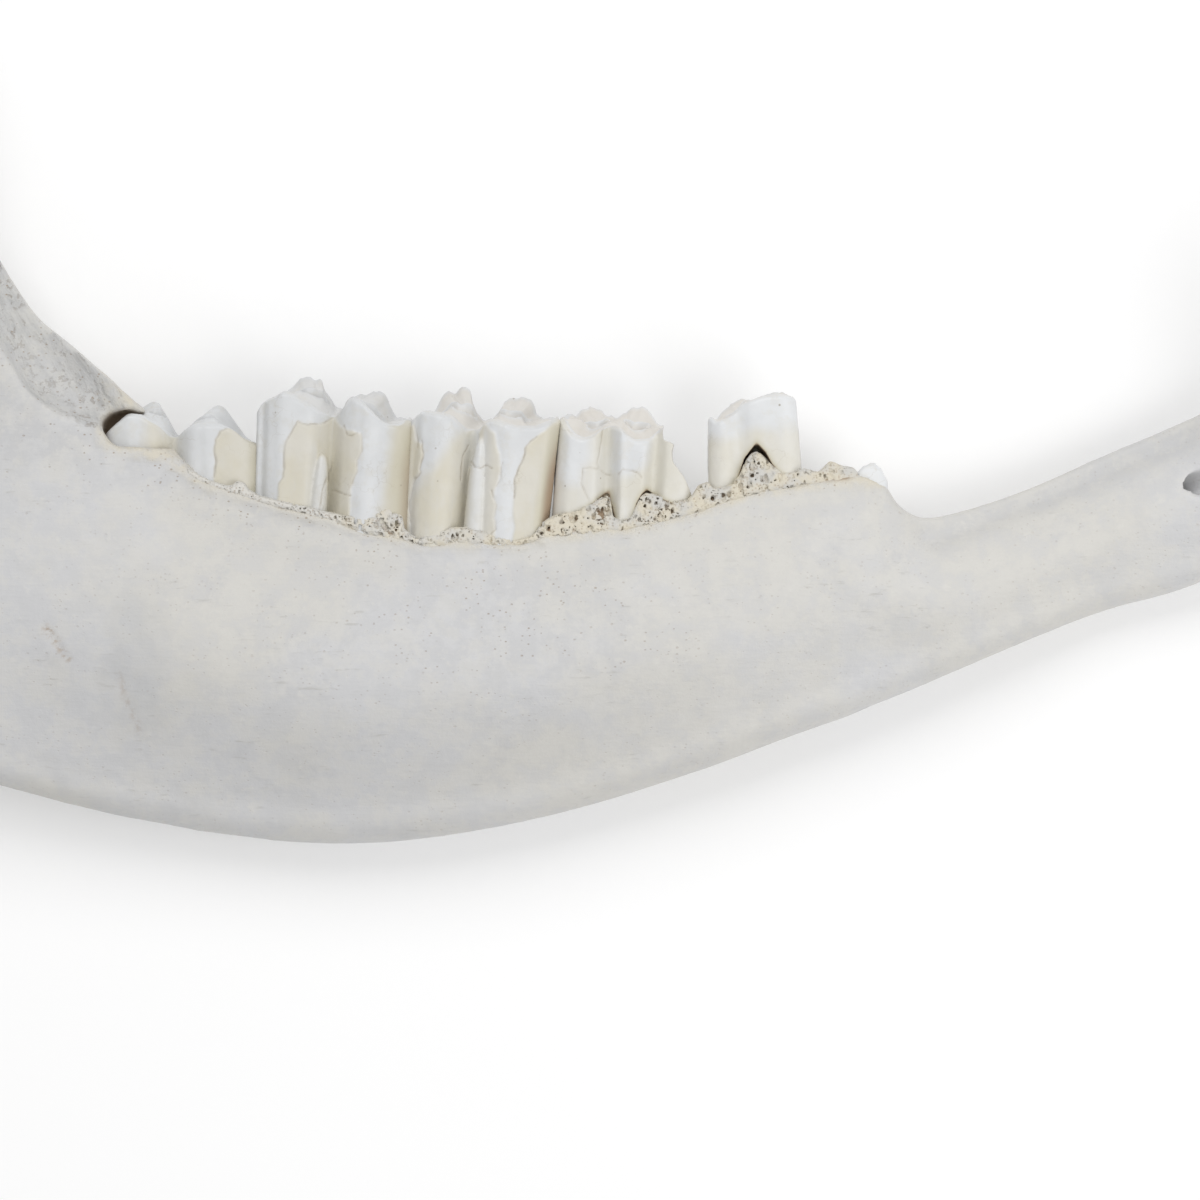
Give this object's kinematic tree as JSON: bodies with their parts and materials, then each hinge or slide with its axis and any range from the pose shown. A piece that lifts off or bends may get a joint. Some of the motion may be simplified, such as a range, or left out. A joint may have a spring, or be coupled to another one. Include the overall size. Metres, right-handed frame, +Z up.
{
  "type": "bison jawbone",
  "caption": "Right half of a young bison's lower jaw, dry bone with its worn and erupting cheek teeth and front teeth, lying on its inner side.",
  "frame": {"origin": "middle of the jaw's bounding box, on the surface that it lies on", "axes": "+X forward along the jaw to the front teeth, +Y towards the chewing surface, +Z up out of the cheek side"},
  "size_m": [0.3774, 0.2202, 0.0412],
  "materials": {
    "bone": "dry bleached bone, matte to silky, fine pores and a few rough patches",
    "enamel": "white tooth enamel and cream cementum, satin, cracked"
  },
  "bodies": {
    "root": {"jawbone": "bone"}
  },
  "joints": []
}
